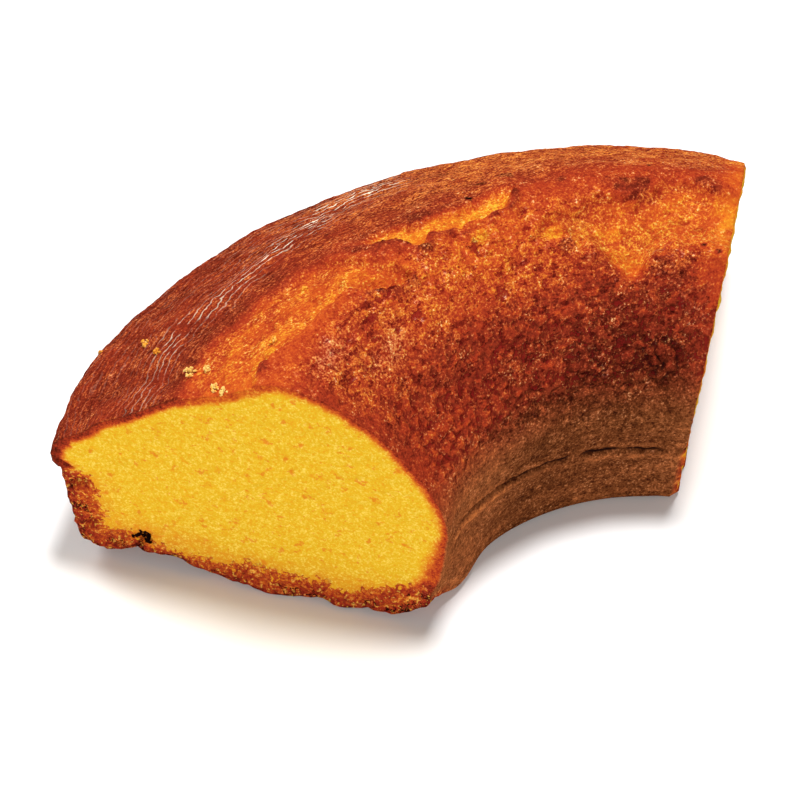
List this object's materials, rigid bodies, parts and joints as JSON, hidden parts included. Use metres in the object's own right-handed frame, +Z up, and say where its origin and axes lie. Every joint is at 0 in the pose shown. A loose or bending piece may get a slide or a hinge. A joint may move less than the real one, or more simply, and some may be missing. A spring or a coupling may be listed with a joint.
{
  "type": "ring cake quarter",
  "caption": "Cut piece of a plain ring cake: a curved loaf with a domed, split brown crust, a stepped inner wall and flat knife cuts that show yellow crumb.",
  "frame": {"origin": "middle of the piece's bounding box, on the surface that it rests on", "axes": "+X along the piece towards its right cut, +Y outwards from the ring's axis at the middle of the piece, +Z up"},
  "size_m": [0.1613, 0.0844, 0.0607],
  "materials": {
    "cake": "baked brown crust with a satin sheen, bright yellow fine crumb at the cuts"
  },
  "bodies": {
    "root": {"ring_cake": "cake"}
  },
  "joints": []
}
